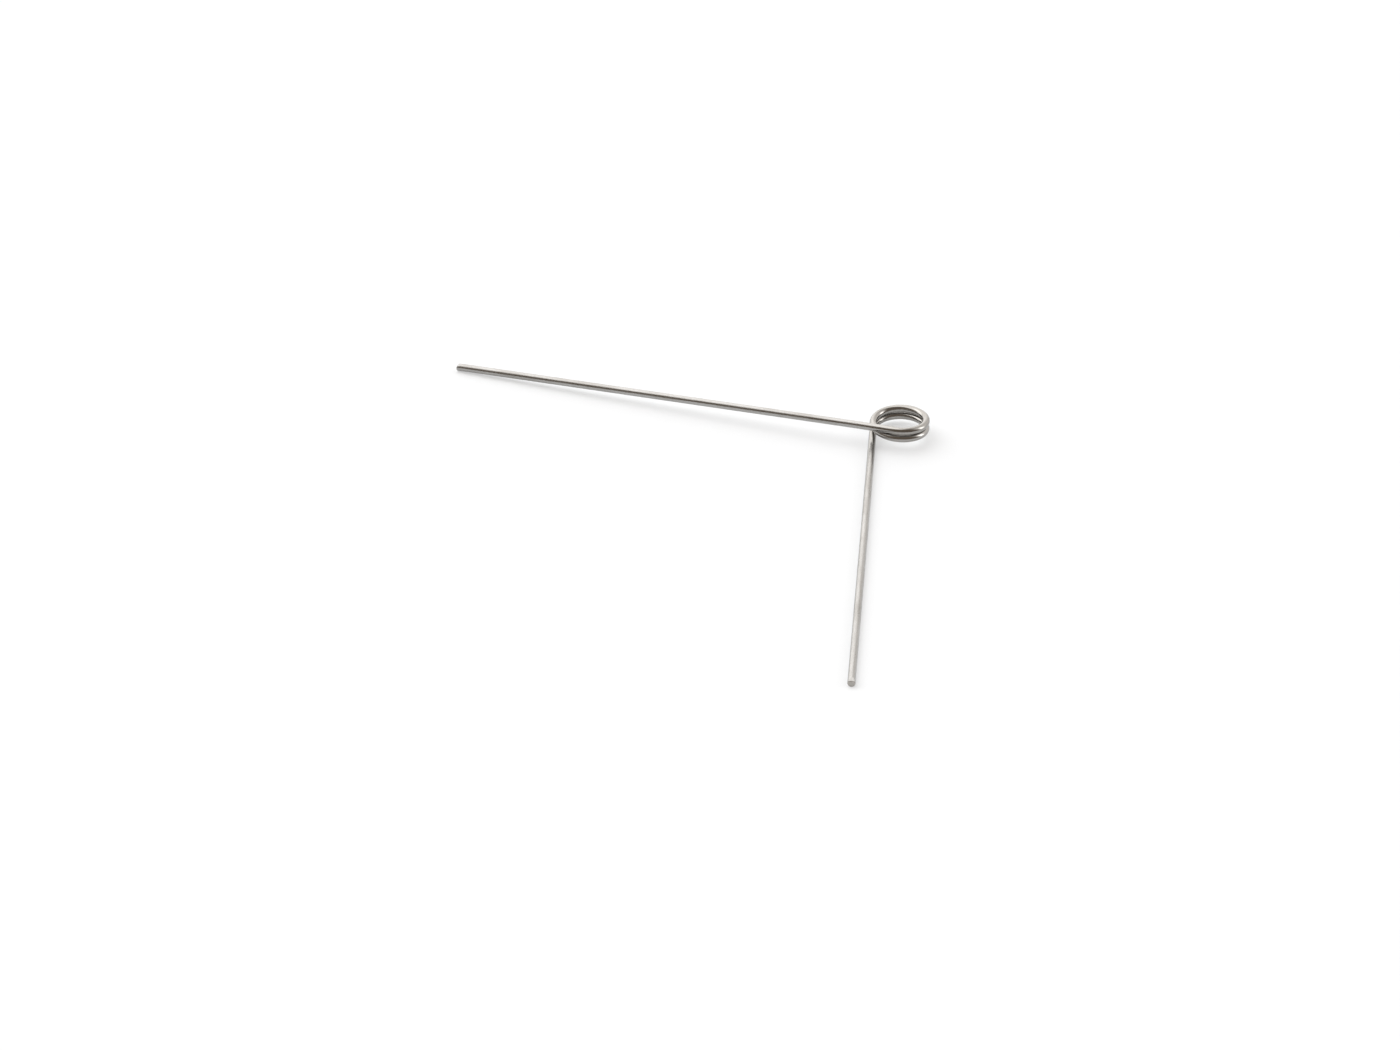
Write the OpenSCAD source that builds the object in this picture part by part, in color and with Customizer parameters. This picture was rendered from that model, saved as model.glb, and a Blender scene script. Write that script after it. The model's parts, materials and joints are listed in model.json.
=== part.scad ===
// Torsion spring: one length of round wire, wound left-handed into a short
// open coil, with a straight leg running out of each end.
//
// The origin is on the coil's axis, on the surface that the spring lies on.
// +Z runs up the coil. The upper leg leaves the top of the coil towards -X and
// slopes down until its tip rests; the lower leg lies flat.
//
// The wire is laid the way a spring former bends it. Each module starts at the
// origin, heads along +X and bends towards +Y, and its children carry on from
// the end of the wire it has laid.

/* [Wire] */
// Diameter of the wire
wire_d = 1; // [0.6:0.1:1.2]
// Length of the slope that the cutter leaves on top of each end
cut_length = 0.4; // [0.2:0.05:0.8]
// How deep that slope cuts at the very end
cut_depth = 0.34; // [0.1:0.02:0.44]

/* [Coil] */
// Inside diameter of the coil, which turns on a shaft or a pin
coil_inner_d = 6; // [4:0.5:16]
// Gap between one turn and the next
turn_gap = 0.1; // [0.08:0.02:0.2]
// Whole turns, before the part turn that swings the lower leg out
whole_turns = 1; // [1:1:3]

/* [Legs] */
// Angle between the legs, seen along the coil's axis
leg_angle = 104; // [40:2:140]
// Length of the upper leg, from the coil to its tip
upper_leg = 61; // [40:1:90]
// Length of the lower leg, from the coil to its tip
lower_leg = 61; // [40:1:90]
// Radius of the slight bends that set the legs against the coil's slope
set_bend_r = 5; // [3:0.5:8]
// How far the upper leg is set down once more where it has cleared the coil
last_set = 0.6; // [0.4:0.1:1.5]

/* [Hidden] */
$fn = 48;

wire_r = wire_d / 2;
// Wire thins by a hair where it is bent, so each straight stretch starts as a
// short sleeve over the bend before it, and the whole length is one solid.
neck = 0.004;
lap = 0.04;
coil_wire_r = wire_r - neck;
lead_wire_r = wire_r - neck / 2;

// The coil is a chain of flat quarter-circle bends. A small twist of the wire
// between one bend and the next makes it climb evenly, as a helix does.
coil_r = coil_inner_d / 2 + wire_r;
pitch = wire_d + turn_gap;
rise = pitch / (4 * coil_r);
skew = rise / sqrt(4 - 2 * pow(rise, 2));
norm = sqrt(1 + 2 * pow(skew, 2));
twist = 2 * atan(skew);
// What one bend adds: its sweep seen from above, its drop, and the distance
// from the coil's axis at which it meets its neighbour
quarter_sweep = acos(-pow(skew, 2) / (1 + pow(skew, 2)));
quarter_drop = 2 * coil_r * skew / norm;
joint_r = sqrt(2 * pow(coil_r, 2) - pow(quarter_drop, 2)) / (2 * sin(quarter_sweep / 2));
joint_slope = asin(skew / norm);

// A last, shorter bend turns the wire to the lower leg's direction.
least_closing = 2;
coil_sweep = 360 * whole_turns + 180 + leg_angle;
quarters = floor((coil_sweep - least_closing) / quarter_sweep);
closing_sweep = coil_sweep - quarters * quarter_sweep;
closing_angle = atan2(
    sin(closing_sweep) * (1 + pow(skew, 2)),
    cos(closing_sweep) * norm + sin(closing_sweep) * pow(skew, 2)
);
closing_drop = coil_r * skew / norm * (sin(closing_angle) + 1 - cos(closing_angle));

// Each leg first runs straight until it is clear of the coil.
lead = coil_r + wire_d;

// Lower leg: it leaves along the coil's slope, and a set bend then levels it.
level_angle = asin(skew / norm * (cos(closing_angle) + sin(closing_angle)));
level_roll = atan2(1 / norm, skew / norm * (sin(closing_angle) - cos(closing_angle)));

coil_end_z = wire_r + set_bend_r * (1 - cos(level_angle)) + lead * sin(level_angle);
top_z = coil_end_z + closing_drop + quarters * quarter_drop;

// Upper leg: a set bend at the coil and a last one at the end of the lead turn
// it down by droop, so that the underside of its tip touches the surface below.
reach = upper_leg - lead * (1 - cos(last_set));
bend_height = set_bend_r - wire_r + lead * sin(last_set);
droop = atan2(bend_height, reach)
    + asin((top_z - set_bend_r * cos(joint_slope)) / sqrt(pow(reach, 2) + pow(bend_height, 2)));
droop_roll = atan2(-1 / norm, -skew / norm);

// An arc of wire
module bend(angle, radius, r) {
    translate([0, radius, 0])
        rotate([0, 0, -90])
            rotate_extrude(angle = angle)
                translate([radius, 0])
                    circle(r = r);
    translate([0, radius, 0])
        rotate([0, 0, angle])
            translate([0, -radius, 0])
                children();
}

// A straight stretch of wire, from start to finish along +X
module straight(start, finish, r) {
    translate([start, 0, 0])
        rotate([0, 90, 0])
            cylinder(r = r, h = finish - start);
}

// The slope that the cutter leaves on the +Y side of a wire that ends at x
module cutter_slope(x) {
    translate([x, wire_r - cut_depth, 0])
        rotate([0, 0, -atan(cut_depth / cut_length)])
            translate([-2 * cut_length, 0, -wire_d])
                cube([4 * cut_length, wire_d, 2 * wire_d]);
}

// The straight run that carries a leg clear of the coil, lapped over the bend
// before it, and the set bend at its end
module lead_out(set_angle) {
    straight(-lap, lead, lead_wire_r);
    translate([lead, 0, 0])
        bend(set_angle, set_bend_r, lead_wire_r)
            children();
}

// The rest of a leg, lapped over the bend before it, with its end cropped
module leg(length) {
    difference() {
        straight(-lap, length - lead, wire_r);
        cutter_slope(length - lead);
    }
}

// Quarter turns of the coil, going down
module quarter_turns(count) {
    if (count > 0)
        bend(90, coil_r, coil_wire_r)
            rotate([-twist, 0, 0])
                quarter_turns(count - 1) children();
    else
        children();
}

// From the coil's last quarter down to the tip of the lower leg
module lower_end() {
    bend(closing_angle, coil_r, coil_wire_r)
        rotate([level_roll, 0, 0])
            lead_out(level_angle)
                leg(lower_leg);
}

// From the top of the coil back to the tip of the upper leg. The wire bends
// down here, so the leg is turned over to bring the cutter's slope on top.
module upper_end() {
    rotate([0, 0, 180])
        rotate([droop_roll, 0, 0])
            bend(joint_slope + droop - last_set, set_bend_r, coil_wire_r)
                lead_out(last_set)
                    rotate([180, 0, 0])
                        leg(upper_leg);
}

module torsion_spring() {
    color("silver")
        translate([0, -joint_r, top_z])
            rotate([0, atan2(skew, sqrt(1 + pow(skew, 2))), 0])
                rotate([-atan(skew), 0, 0]) {
                    quarter_turns(quarters) lower_end();
                    upper_end();
                }
}

torsion_spring();
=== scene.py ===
"""A steel torsion spring lying on a pale floor under soft studio light."""
import json
from math import acos, asin, atan, atan2, ceil, cos, exp, floor, hypot, pi, radians, sin, sqrt, tan

import bpy
from mathutils import Matrix, Vector, noise


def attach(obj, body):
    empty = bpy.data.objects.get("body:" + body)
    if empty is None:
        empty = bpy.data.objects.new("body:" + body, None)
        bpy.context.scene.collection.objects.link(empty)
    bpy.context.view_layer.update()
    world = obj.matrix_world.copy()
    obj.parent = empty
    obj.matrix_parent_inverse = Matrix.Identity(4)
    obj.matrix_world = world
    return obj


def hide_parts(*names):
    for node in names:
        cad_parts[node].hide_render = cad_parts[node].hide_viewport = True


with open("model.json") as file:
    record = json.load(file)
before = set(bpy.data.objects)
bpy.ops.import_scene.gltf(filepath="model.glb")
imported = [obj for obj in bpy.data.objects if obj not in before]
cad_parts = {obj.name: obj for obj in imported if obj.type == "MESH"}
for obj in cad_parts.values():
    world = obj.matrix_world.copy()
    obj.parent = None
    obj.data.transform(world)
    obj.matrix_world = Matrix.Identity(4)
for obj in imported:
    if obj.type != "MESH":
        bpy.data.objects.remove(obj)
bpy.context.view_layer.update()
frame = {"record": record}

MM = 0.001
NODE = "torsion_spring"
MOUNTS = {mount["name"]: mount for mount in frame["record"]["mounts"]}

# The wire and the coil, as the record states them
WIRE_R = MOUNTS["upper_leg_end"]["dims"]["r_mm"] * MM
COIL_R = MOUNTS["coil_eye"]["dims"]["r_mm"] * MM + WIRE_R
LOWER_LEG_AXIS = MOUNTS["lower_leg_end"]["axis"]
LEG_ANGLE = atan2(LOWER_LEG_AXIS[1], LOWER_LEG_AXIS[0]) % (2 * pi) - pi

# Sizes that the solid has and the record doesn't state
TURN_GAP = 0.1 * MM
WHOLE_TURNS = 1
LEG = 61 * MM
SET_BEND_R = 5 * MM
LAST_SET = radians(0.6)
LEAST_CLOSING = radians(2)

COIL_SWEEP = 2 * pi * WHOLE_TURNS + pi + LEG_ANGLE
COIL_LENGTH = COIL_SWEEP * COIL_R

# How finely the wire's skin is divided: points round each ring, and the steps between rings
RING = 64
RING_ANGLES = [2 * pi * i / RING for i in range(RING)]
BEND_STEP = 0.12 * MM
FEED_STEP = 0.5 * MM


# ---------------------------------------------------------------- the wire

class Wire:
    """Wire laid as a spring former lays it: it heads along its own +X and bends towards +Y."""

    def __init__(self, start):
        self.frame = start
        self.rolled = 0.0
        self.laid = 0.0
        self.stations = []
        self.mark()

    def mark(self):
        """Notes the wire's place here, with the rolls undone, so that its skin runs straight."""
        self.stations.append((self.laid, self.frame @ Matrix.Rotation(-self.rolled, 4, "X")))

    def roll(self, angle):
        self.frame = self.frame @ Matrix.Rotation(angle, 4, "X")
        self.rolled += angle

    def feed(self, length):
        steps = ceil(length / FEED_STEP)
        for _ in range(steps):
            self.frame = self.frame @ Matrix.Translation((length / steps, 0, 0))
            self.laid += length / steps
            self.mark()

    def bend(self, angle, radius):
        steps = ceil(angle * radius / BEND_STEP)
        turn = (
            Matrix.Translation((0, radius, 0))
            @ Matrix.Rotation(angle / steps, 4, "Z")
            @ Matrix.Translation((0, -radius, 0))
        )
        for _ in range(steps):
            self.frame = self.frame @ turn
            self.laid += angle * radius / steps
            self.mark()


def lay_spring():
    """The spring's stations from the upper leg's tip to the lower leg's: (length, frame).

    They follow the rules of the solid's source. The coil is a chain of quarter-circle bends with a
    small twist between them, and a shorter bend closes it. A set bend then levels the lower leg,
    and two bring the upper leg down until its tip rests on the floor.
    """
    pitch = 2 * WIRE_R + TURN_GAP
    rise = pitch / (4 * COIL_R)
    skew = rise / sqrt(4 - 2 * rise**2)
    norm = sqrt(1 + 2 * skew**2)
    quarter_sweep = acos(-(skew**2) / (1 + skew**2))
    quarter_drop = 2 * COIL_R * skew / norm
    joint_r = sqrt(2 * COIL_R**2 - quarter_drop**2) / (2 * sin(quarter_sweep / 2))
    joint_slope = asin(skew / norm)

    quarters = floor((COIL_SWEEP - LEAST_CLOSING) / quarter_sweep)
    closing_sweep = COIL_SWEEP - quarters * quarter_sweep
    closing_angle = atan2(
        sin(closing_sweep) * (1 + skew**2),
        cos(closing_sweep) * norm + sin(closing_sweep) * skew**2,
    )
    closing_drop = COIL_R * skew / norm * (sin(closing_angle) + 1 - cos(closing_angle))

    lead = COIL_R + 2 * WIRE_R
    level_angle = asin(skew / norm * (cos(closing_angle) + sin(closing_angle)))
    level_roll = atan2(1 / norm, skew / norm * (sin(closing_angle) - cos(closing_angle)))
    coil_end_z = WIRE_R + SET_BEND_R * (1 - cos(level_angle)) + lead * sin(level_angle)
    top_z = coil_end_z + closing_drop + quarters * quarter_drop

    reach = LEG - lead * (1 - cos(LAST_SET))
    bend_height = SET_BEND_R - WIRE_R + lead * sin(LAST_SET)
    droop = atan2(bend_height, reach) + asin(
        (top_z - SET_BEND_R * cos(joint_slope)) / hypot(reach, bend_height)
    )

    top = (
        Matrix.Translation((0, -joint_r, top_z))
        @ Matrix.Rotation(atan2(skew, sqrt(1 + skew**2)), 4, "Y")
        @ Matrix.Rotation(-atan(skew), 4, "X")
    )
    down = Wire(top)
    for _ in range(quarters):
        down.bend(pi / 2, COIL_R)
        down.roll(-2 * atan(skew))
    down.bend(closing_angle, COIL_R)
    down.roll(level_roll)
    down.feed(lead)
    down.bend(level_angle, SET_BEND_R)
    down.feed(LEG - lead)

    about = Matrix.Rotation(pi, 4, "Z")
    back = Wire(top @ about)
    back.roll(atan2(-1 / norm, -skew / norm))
    back.bend(joint_slope + droop - LAST_SET, SET_BEND_R)
    back.feed(lead)
    back.bend(LAST_SET, SET_BEND_R)
    back.feed(LEG - lead)

    upper = [(-laid, place @ about) for laid, place in reversed(back.stations[1:])]
    return upper + down.stations


# ------------------------------------------------------------ the cut ends

# The cutter pushed the top of the wire over into a curved slope, which is longer and shallower
# here than in the solid, sheared a band below the slope, and tore off the rest.
CUT_LENGTH = 0.7 * MM
CUT_DEPTH = 0.26 * MM
SLOPE_CURVE = 1.25
SHEARED_BAND = 0.12 * MM
TEAR_FADE = 0.1 * MM
EDGE_R = 0.025 * MM
BURR = 0.035 * MM
BURR_HEIGHT = 0.07 * MM

# Relief of the torn and the sheared steel, and how fine each grain is, in grains per mm
TORN_RELIEF = 0.018 * MM
SHEARED_RELIEF = 0.004 * MM
TORN_GRAIN = 7.0
SHEARED_GRAIN = 22.0
BURR_GRAIN = 9.0
BURR_EVEN, BURR_RAGGED = 0.7, 0.3
TORN_SMOOTHNESS, TORN_LACUNARITY, TORN_OCTAVES = 0.8, 2.1, 4
UPPER_SEED, LOWER_SEED, SCORE_SEED = 3.0, 8.0, 0.3

# The rings that close a tip: those of the skin crowd towards the face, and those of the face
# shrink to its middle by these shares of the wire's radius
END_ZONE = 1.6 * MM
END_RINGS = 14
CROWDING = 0.7
FACE_RINGS = [0.998, 0.99, 0.975, 0.955, 0.92, 0.86, 0.78, 0.69, 0.6, 0.5, 0.4, 0.3, 0.2, 0.1]


def cut_back(side, height, seed):
    """How far behind the tip the cut face lies, height above the axis and side to its right."""
    slope_from = WIRE_R - CUT_DEPTH
    over = max(0.0, (height - slope_from) / CUT_DEPTH)
    back = CUT_LENGTH * over**SLOPE_CURVE

    spot = Vector((side / MM, height / MM, seed))
    torn = min(1.0, max(0.0, (slope_from - SHEARED_BAND - height) / TEAR_FADE))
    rugged = noise.fractal(spot * TORN_GRAIN, TORN_SMOOTHNESS, TORN_LACUNARITY, TORN_OCTAVES)
    scored = noise.noise(Vector((side / MM * SHEARED_GRAIN, seed, SCORE_SEED)))
    back += torn * TORN_RELIEF * rugged + (1 - torn) * SHEARED_RELIEF * scored

    beyond = max(0.0, hypot(side, height) - (WIRE_R - EDGE_R)) / EDGE_R
    back += EDGE_R * (1 - sqrt(max(0.0, 1 - min(1.0, beyond) ** 2)))
    ragged = BURR_EVEN + BURR_RAGGED * noise.noise(spot * BURR_GRAIN)
    back -= BURR * exp(-(((height + WIRE_R) / BURR_HEIGHT) ** 2)) * ragged
    return back


# A point of the wire is its spot, its place on the wire laid straight, and its height up the slope.

def skin_ring(station):
    """The ring of points round the wire at a station."""
    laid, place = station
    around = [(WIRE_R * cos(angle), WIRE_R * sin(angle)) for angle in RING_ANGLES]
    return [(place @ Vector((0, y, z)), (laid, y, z), 0.0) for y, z in around]


def end_rings(station, outward, seed):
    """The rings that close the wire at a tip: the last of its skin, the cut face's, its middle."""
    laid, place = station
    tip = place.to_translation()
    along = place.to_3x3() @ Vector((outward, 0, 0))
    across = place.to_3x3() @ Vector((0, 1, 0))
    upward = place.to_3x3() @ Vector((0, 0, 1))
    high = (Vector((0, 0, 1)) - along * along.z).normalized()
    right = high.cross(along)

    def spoke(ring_r, angle):
        return (across * cos(angle) + upward * sin(angle)) * ring_r

    def face(ring_r, angle):
        reach = spoke(ring_r, angle)
        return cut_back(reach.dot(right), reach.dot(high), seed)

    def point(ring_r, angle, behind, up_slope=0.0):
        straight = (laid - outward * behind, ring_r * cos(angle), ring_r * sin(angle))
        return tip + spoke(ring_r, angle) + along * -behind, straight, up_slope

    def face_point(ring_r, angle):
        rise = (spoke(ring_r, angle).dot(high) - WIRE_R + CUT_DEPTH) / CUT_DEPTH
        return point(ring_r, angle, face(ring_r, angle), max(0.0, rise))

    skin = []
    for number in range(1, END_RINGS + 1):
        share = (number / END_RINGS) ** CROWDING
        skin.append([
            point(WIRE_R, angle, END_ZONE + (face(WIRE_R, angle) - END_ZONE) * share)
            for angle in RING_ANGLES
        ])
    cap = [[face_point(WIRE_R * share, angle) for angle in RING_ANGLES] for share in FACE_RINGS]
    return skin, cap, face_point(0, 0)


def build_wire(name):
    """The whole wire as one closed mesh, whose cut ends take its second material."""
    stations = lay_spring()
    first, last = stations[0][0], stations[-1][0]
    body = [skin_ring(s) for s in stations if first + END_ZONE <= s[0] <= last - END_ZONE]
    upper_skin, upper_cap, upper_middle = end_rings(stations[0], -1, UPPER_SEED)
    lower_skin, lower_cap, lower_middle = end_rings(stations[-1], 1, LOWER_SEED)
    rings = upper_cap[::-1] + upper_skin[::-1] + body + lower_skin + lower_cap
    points = [point for ring in rings for point in ring] + [upper_middle, lower_middle]

    faces, cut = [], []
    skin_from, skin_to = len(upper_cap), len(rings) - len(lower_cap) - 1
    for number in range(len(rings) - 1):
        near, far = number * RING, (number + 1) * RING
        for i in range(RING):
            j = (i + 1) % RING
            faces.append((near + i, near + j, far + j, far + i))
            cut.append(not skin_from <= number < skin_to)
    last_ring = (len(rings) - 1) * RING
    for i in range(RING):
        j = (i + 1) % RING
        faces.append((len(points) - 2, j, i))
        faces.append((len(points) - 1, last_ring + i, last_ring + j))
        cut += [True, True]

    mesh = bpy.data.meshes.new(name)
    mesh.from_pydata([spot for spot, _, _ in points], [], faces)
    mesh.update()
    straightened = mesh.attributes.new("straightened", "FLOAT_VECTOR", "POINT")
    straightened.data.foreach_set("vector", [x / MM for _, place, _ in points for x in place])
    pushed_over = mesh.attributes.new("pushed_over", "FLOAT", "POINT")
    pushed_over.data.foreach_set("value", [up_slope for _, _, up_slope in points])
    for polygon, is_cut in zip(mesh.polygons, cut):
        polygon.material_index = 1 if is_cut else 0
        polygon.use_smooth = True
    piece = bpy.data.objects.new(name, mesh)
    bpy.context.scene.collection.objects.link(piece)
    return piece


# --------------------------------------------------------------- materials

# The steel's colours; coiled, leg and torn steel go from a darker to a lighter one. The leg steel
# is a lighter copy of the coiled steel, which is painted light
COILED_STEEL = ((0.333, 0.322, 0.306, 1), (0.394, 0.382, 0.365, 1))
LEG_STEEL_PAINTED_LIGHTER = ((0.350, 0.344, 0.333, 1), (0.440, 0.434, 0.423, 1))
TORN_STEEL = ((0.38, 0.362, 0.338, 1), (0.56, 0.540, 0.510, 1))
DULL_STEEL = (0.290, 0.277, 0.260, 1)
PUSHED_STEEL = (0.41, 0.404, 0.393, 1)

# How much of the line pattern is fine lines, and how far the specks stand out beside the lines
FINE_SHARE = 0.4
SPECK_RELIEF = 0.25

# The legs grow duller and rougher, and their colours lighter as painted light, over a short way out
# of the coil, and torn steel is rougher than pushed steel
LEG_FADE = 5 * MM
LEG_ROUGHER = 0.09
TORN_ROUGHER = 0.10


def new_material(name):
    material = bpy.data.materials.new(name)
    material.use_nodes = True
    tree = material.node_tree
    tree.nodes.clear()
    output = tree.nodes.new("ShaderNodeOutputMaterial")
    return material, tree, output


def add(tree, kind, inputs=None, **settings):
    """A node with its settings and inputs given; an input is a value or another node's socket."""
    node = tree.nodes.new(kind)
    for key, value in settings.items():
        setattr(node, key, value)
    for key, value in (inputs or {}).items():
        if isinstance(value, bpy.types.NodeSocket):
            tree.links.new(value, node.inputs[key])
        else:
            node.inputs[key].default_value = value
    return node


def grain(tree, place, stretch, scale, detail, roughness):
    """Noise over the straightened wire, drawn out along it by stretch."""
    drawn = add(tree, "ShaderNodeMapping", {"Vector": place, "Scale": (1 / stretch, 1, 1)})
    return add(tree, "ShaderNodeTexNoise", {
        "Vector": drawn.outputs["Vector"], "Scale": scale, "Detail": detail, "Roughness": roughness,
    }).outputs["Fac"]


def spread(tree, value, over, onto=(0.0, 1.0)):
    """value, as it runs over one range, mapped onto another and held at its ends."""
    return add(tree, "ShaderNodeMapRange", {
        "Value": value, "From Min": over[0], "From Max": over[1],
        "To Min": onto[0], "To Max": onto[1],
    }).outputs["Result"]


def maths(tree, operation, first, second):
    """The result of one step of arithmetic on two values, each a number or a socket."""
    return add(tree, "ShaderNodeMath", {0: first, 1: second}, operation=operation).outputs[0]


def blend_colours(tree, share, low, high):
    """A colour that goes from low to high as share goes from 0 to 1."""
    mix = add(tree, "ShaderNodeMix", {"Factor": share}, data_type="RGBA")
    for key, value in (("A", low), ("B", high)):
        socket = next(s for s in mix.inputs if s.name == key and s.type == "RGBA")
        if isinstance(value, bpy.types.NodeSocket):
            tree.links.new(value, socket)
        else:
            socket.default_value = value
    return next(s for s in mix.outputs if s.type == "RGBA")


def finish_metal(tree, output, colour, rough, relief, strength, depth):
    """Bare metal of this colour and roughness, with its relief shown by a bump of this depth."""
    bump = add(tree, "ShaderNodeBump", {"Strength": strength, "Distance": depth, "Height": relief})
    shader = add(tree, "ShaderNodeBsdfPrincipled", {
        "Base Color": colour, "Metallic": 1.0, "Roughness": rough, "Normal": bump.outputs["Normal"],
    })
    tree.links.new(shader.outputs["BSDF"], output.inputs["Surface"])


def add_shaders(tree, output, first, second):
    """Both shaders' light together, on the output."""
    both = tree.nodes.new("ShaderNodeAddShader")
    tree.links.new(first.outputs[0], both.inputs[0])
    tree.links.new(second.outputs[0], both.inputs[1])
    tree.links.new(both.outputs[0], output.inputs["Surface"])


def drawn_steel():
    """Bright drawn spring wire: fine die lines along it, dull patches, and flecks on its legs."""
    material, tree, output = new_material("drawn_spring_steel")
    place = add(tree, "ShaderNodeAttribute", attribute_name="straightened").outputs["Vector"]
    die_lines = grain(tree, place, stretch=60, scale=9.0, detail=4, roughness=0.7)
    fine_lines = grain(tree, place, stretch=40, scale=26.0, detail=3, roughness=0.6)
    patches = grain(tree, place, stretch=5, scale=1.1, detail=5, roughness=0.55)
    specks = grain(tree, place, stretch=2.5, scale=7.0, detail=6, roughness=0.7)
    lines = maths(tree, "ADD", maths(tree, "MULTIPLY", die_lines, 1 - FINE_SHARE),
                  maths(tree, "MULTIPLY", fine_lines, FINE_SHARE))

    # the former's tools burnish the wire where they coil it, and leave the legs duller; the legs'
    # lighter copy of the steel's colours is painted light
    laid = add(tree, "ShaderNodeSeparateXYZ", {"Vector": place}).outputs["X"]
    on_upper = spread(tree, laid, (0.0, -LEG_FADE / MM))
    on_lower = spread(tree, laid, (COIL_LENGTH / MM, (COIL_LENGTH + LEG_FADE) / MM))
    on_leg = maths(tree, "MAXIMUM", on_upper, on_lower)

    line_share = spread(tree, lines, (0.36, 0.62))
    bare = blend_colours(tree, on_leg, blend_colours(tree, line_share, *COILED_STEEL),
                         blend_colours(tree, line_share, *LEG_STEEL_PAINTED_LIGHTER))
    dull_patches = spread(tree, patches, (0.45, 0.68), (0.0, 0.7))
    flecks = maths(tree, "MULTIPLY", on_leg, spread(tree, specks, (0.50, 0.68), (0.0, 0.7)))
    colour = blend_colours(tree, maths(tree, "MAXIMUM", dull_patches, flecks), bare, DULL_STEEL)

    rough = maths(tree, "ADD", spread(tree, lines, (0.3, 0.7), (0.14, 0.22)),
                  spread(tree, specks, (0.45, 0.75), (0.0, 0.08)))
    rough = maths(tree, "ADD", rough, maths(tree, "MULTIPLY", on_leg, LEG_ROUGHER))
    relief = maths(tree, "ADD", lines, maths(tree, "MULTIPLY", specks, SPECK_RELIEF))
    finish_metal(tree, output, colour, rough, relief, strength=0.8, depth=0.005 * MM)
    return material


def cut_steel():
    """The cropped ends: bright where the cutter pushed the edge over, dull where the wire tore."""
    material, tree, output = new_material("cropped_steel")
    place = add(tree, "ShaderNodeAttribute", attribute_name="straightened").outputs["Vector"]
    up_slope = add(tree, "ShaderNodeAttribute", attribute_name="pushed_over").outputs["Fac"]
    score = grain(tree, place, stretch=1, scale=16.0, detail=4, roughness=0.6)

    ragged = maths(tree, "ADD", up_slope, spread(tree, score, (0.3, 0.7), (-0.06, 0.06)))
    pushed = spread(tree, ragged, (0.0, 0.12))
    torn = blend_colours(tree, spread(tree, score, (0.35, 0.65)), *TORN_STEEL)
    colour = blend_colours(tree, pushed, torn, PUSHED_STEEL)
    rough = maths(tree, "ADD", spread(tree, score, (0.3, 0.7), (0.34, 0.44)),
                  spread(tree, pushed, (0.0, 1.0), (TORN_ROUGHER, 0.0)))
    finish_metal(tree, output, colour, rough, score, strength=0.5, depth=0.006 * MM)
    return material


# ------------------------------------------------------------ the setting

# The photo's own view of the spring
CAMERA_AZIMUTH = radians(17.67)
CAMERA_HEIGHT = radians(31.6)
CAMERA_ROLL = radians(1.02)
CAMERA_DISTANCE = 631.37 * MM
CAMERA_AIM = Vector((-17.83, -30.57, 0)) * MM
LENS = 125.97
SENSOR_WIDTH = 36
CLIP_START = 0.01
CLIP_END = 20


def place_camera():
    data = bpy.data.cameras.new("camera")
    data.lens = LENS
    data.sensor_width = SENSOR_WIDTH
    data.clip_start = CLIP_START
    data.clip_end = CLIP_END
    camera = bpy.data.objects.new("camera", data)
    camera.matrix_world = (
        Matrix.Translation(CAMERA_AIM)
        @ Matrix.Rotation(CAMERA_AZIMUTH, 4, "Z")
        @ Matrix.Rotation(pi / 2 - CAMERA_HEIGHT, 4, "X")
        @ Matrix.Translation((0, 0, CAMERA_DISTANCE))
        @ Matrix.Rotation(CAMERA_ROLL, 4, "Z")
    )
    bpy.context.scene.collection.objects.link(camera)
    bpy.context.scene.camera = camera


# The floor's cool grey looks neutral under the warm room, and it lies a hair below the wire, so
# that the two never cross
FLOOR_COLOUR = (0.466, 0.48, 0.495, 1)
FLOOR_GLOW = 0.45
FLOOR_HALF = 2.0
FLOOR_DROP = 0.02 * MM


def lay_floor():
    """A white floor. It glows a little to the eye and in the metal, and keeps the shadow."""
    corners = [(x * FLOOR_HALF, y * FLOOR_HALF, -FLOOR_DROP) for x, y in
               ((-1, -1), (1, -1), (1, 1), (-1, 1))]
    mesh = bpy.data.meshes.new("floor")
    mesh.from_pydata(corners, [], [(0, 1, 2, 3)])
    ground = bpy.data.objects.new("floor", mesh)
    bpy.context.scene.collection.objects.link(ground)

    material, tree, output = new_material("floor_white")
    matt = add(tree, "ShaderNodeBsdfDiffuse", {"Color": FLOOR_COLOUR})
    ray = add(tree, "ShaderNodeLightPath").outputs
    mirrored = maths(tree, "MAXIMUM", ray["Is Glossy Ray"], ray["Is Transmission Ray"])
    seen = maths(tree, "MAXIMUM", ray["Is Camera Ray"], mirrored)
    glow = add(tree, "ShaderNodeEmission", {"Strength": maths(tree, "MULTIPLY", seen, FLOOR_GLOW)})
    add_shaders(tree, output, matt, glow)
    mesh.materials.append(material)


# The dim, warm room round the tent, which the darker parts of the steel mirror
ROOM_COLOUR = (0.224, 0.186, 0.150, 1)
# The tent's bright panels, in degrees: how far round to the right from straight behind, how high,
# their reach and their fully lit reach, and how bright they are. The brightest one shows.
PANELS = {
    "upper_left": (-50, 55, 46.5, 31.5, 2.5),
    "back": (-26, 11, 75, 15, 2.12),
    "right": (62, 25, 47, 22, 1.3),
}
# The soft boxes, in degrees: how far round, how high, half their width and height, and radiance
SOFT_BOXES = {
    "left_box": (-68, 27, 17, 27, 1.0),
    "right_strip": (87, 20, 9, 19, 2.8),
}
BOX_DISTANCE = 1.0


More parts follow.
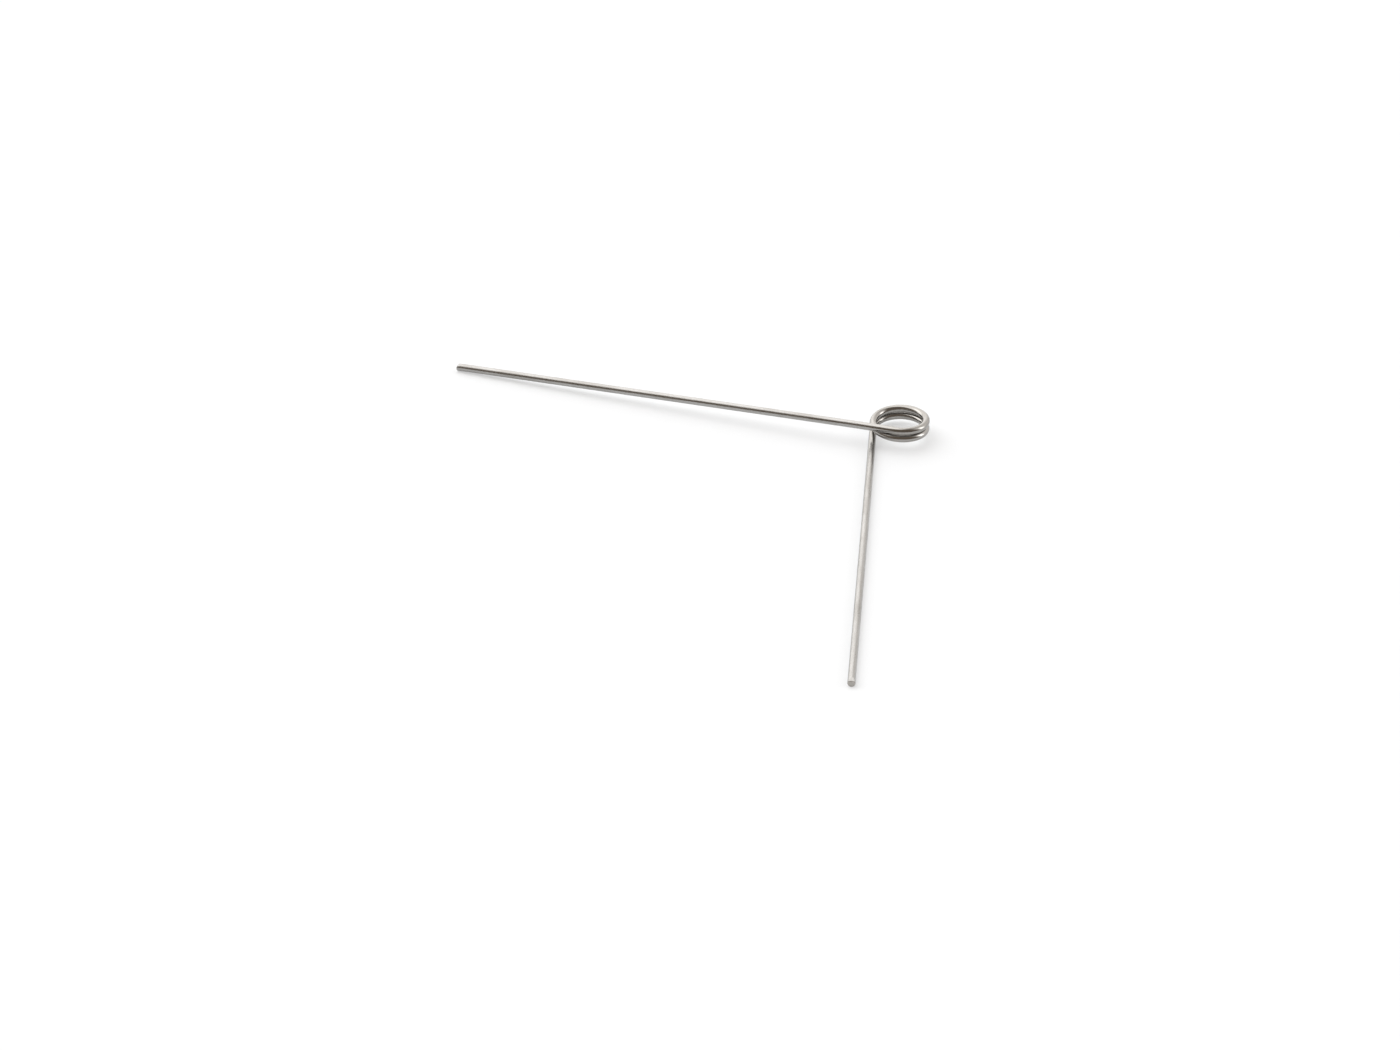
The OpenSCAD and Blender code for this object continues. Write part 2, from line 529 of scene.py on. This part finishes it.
def way(side, height):
    """The direction that lies side degrees to the right of straight behind, and height up."""
    turned, raised = CAMERA_AZIMUTH - radians(side), radians(height)
    return Vector((-sin(turned) * cos(raised), cos(turned) * cos(raised), sin(raised)))


def light_panel(tree, direction, side, height, reach, lit_reach, strength):
    """The light that one panel sends from a direction, soft at the panel's edge."""
    nearness = add(tree, "ShaderNodeVectorMath", {0: direction, 1: way(side, height)},
                   operation="DOT_PRODUCT").outputs["Value"]
    light = spread(tree, nearness, (cos(radians(reach)), cos(radians(lit_reach))), (0.0, strength))
    light.node.interpolation_type = "SMOOTHSTEP"
    return light


def light_tent():
    """A light tent open at the front: bright behind and overhead, dim where the camera stands."""
    world = bpy.data.worlds.new("light_tent")
    bpy.context.scene.world = world
    world.use_nodes = True
    tree = world.node_tree
    tree.nodes.clear()
    output = tree.nodes.new("ShaderNodeOutputWorld")
    direction = add(tree, "ShaderNodeTexCoord").outputs["Generated"]
    level = 0.0
    for panel in PANELS.values():
        level = maths(tree, "MAXIMUM", level, light_panel(tree, direction, *panel))
    tent = add(tree, "ShaderNodeBackground", {"Strength": level})
    room = add(tree, "ShaderNodeBackground", {"Color": ROOM_COLOUR})
    add_shaders(tree, output, tent, room)


def place_boxes():
    """The soft boxes low at both sides, which the coil mirrors as its bright spots."""
    for name, (side, height, half_width, half_height, radiance) in SOFT_BOXES.items():
        data = bpy.data.lights.new(name, "AREA")
        data.shape = "RECTANGLE"
        data.size = 2 * BOX_DISTANCE * tan(radians(half_width))
        data.size_y = 2 * BOX_DISTANCE * tan(radians(half_height))
        data.energy = radiance * pi * data.size * data.size_y
        box = bpy.data.objects.new(name, data)
        towards = way(side, height)
        box.matrix_world = (
            Matrix.Translation(towards * BOX_DISTANCE)
            @ towards.to_track_quat("Z", "Y").to_matrix().to_4x4()
        )
        bpy.context.scene.collection.objects.link(box)


# ------------------------------------------------------------------ making

spring = build_wire("spring_wire_formed")
spring.data.materials.append(drawn_steel())
spring.data.materials.append(cut_steel())
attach(spring, "root")
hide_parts(NODE)

lay_floor()
light_tent()
place_boxes()
place_camera()
bpy.context.scene.view_settings.view_transform = "Standard"
